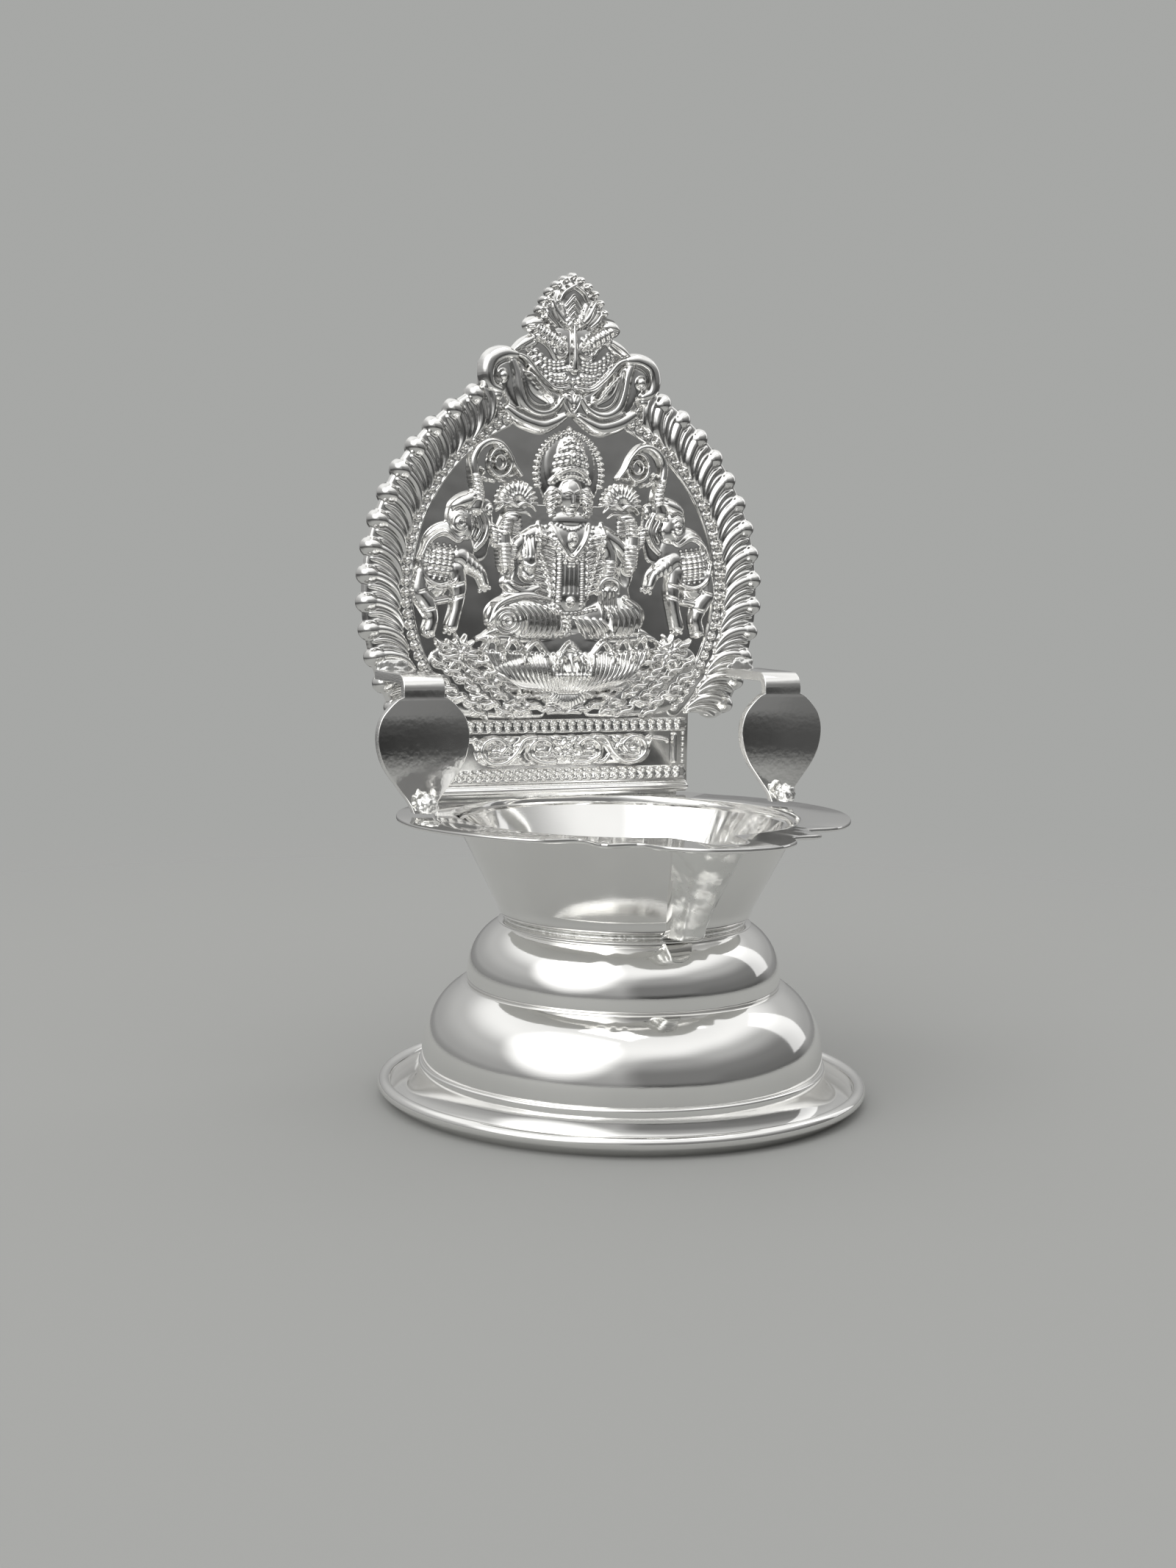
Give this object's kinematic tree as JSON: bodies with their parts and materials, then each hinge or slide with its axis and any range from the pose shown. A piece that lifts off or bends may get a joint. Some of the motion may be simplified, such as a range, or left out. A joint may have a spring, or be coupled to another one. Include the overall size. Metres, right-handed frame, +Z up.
{
  "type": "oil lamp",
  "caption": "Standing oil lamp: a domed hollow foot, an oil cup with a wick spout and petal rim, leaf brackets, and an arched back plate with a seated deity in relief.",
  "frame": {"origin": "centre of the lamp's bounding box at its base, which is 0.7 mm in front of the foot's axis", "axes": "+Z up; -Y the front, the way that the spout points and the back plate's relief faces; +X to the right of someone who faces the front of the lamp"},
  "size_m": [0.0604, 0.0614, 0.1019],
  "materials": {
    "polished_silver": "bright polished silver, spun or pressed sheet",
    "relief_silver": "bright pressed relief, softer in its hollows",
    "solder_silver": "frosted silver solder"
  },
  "bodies": {
    "root": {"foot_dish": "polished_silver", "foot_dome": "polished_silver", "foot_neck": "polished_silver", "cup_solder": "solder_silver", "oil_cup": "polished_silver", "left_leaf_bracket": "polished_silver", "left_foot_solder": "solder_silver", "left_arm_solder": "solder_silver", "right_leaf_bracket": "polished_silver", "right_foot_solder": "solder_silver", "right_arm_solder": "solder_silver", "plinth_solder": "solder_silver", "back_plate": "relief_silver", "goddess_body": "relief_silver", "goddess_head": "relief_silver", "lotus_seat": "relief_silver", "beast_mask": "relief_silver", "crest_leaf": "relief_silver", "frieze_scrolls": "relief_silver", "upper_bead_rail": "relief_silver", "lower_bead_rail": "relief_silver", "plinth_moulding": "relief_silver", "left_border": "relief_silver", "left_bead_ring": "relief_silver", "left_elephant": "relief_silver", "left_hand_lotus": "relief_silver", "left_rosette": "relief_silver", "left_foliage": "relief_silver", "left_scroll": "relief_silver", "right_border": "relief_silver", "right_bead_ring": "relief_silver", "right_elephant": "relief_silver", "right_hand_lotus": "relief_silver", "right_rosette": "relief_silver", "right_foliage": "relief_silver", "right_scroll": "relief_silver"}
  },
  "joints": []
}
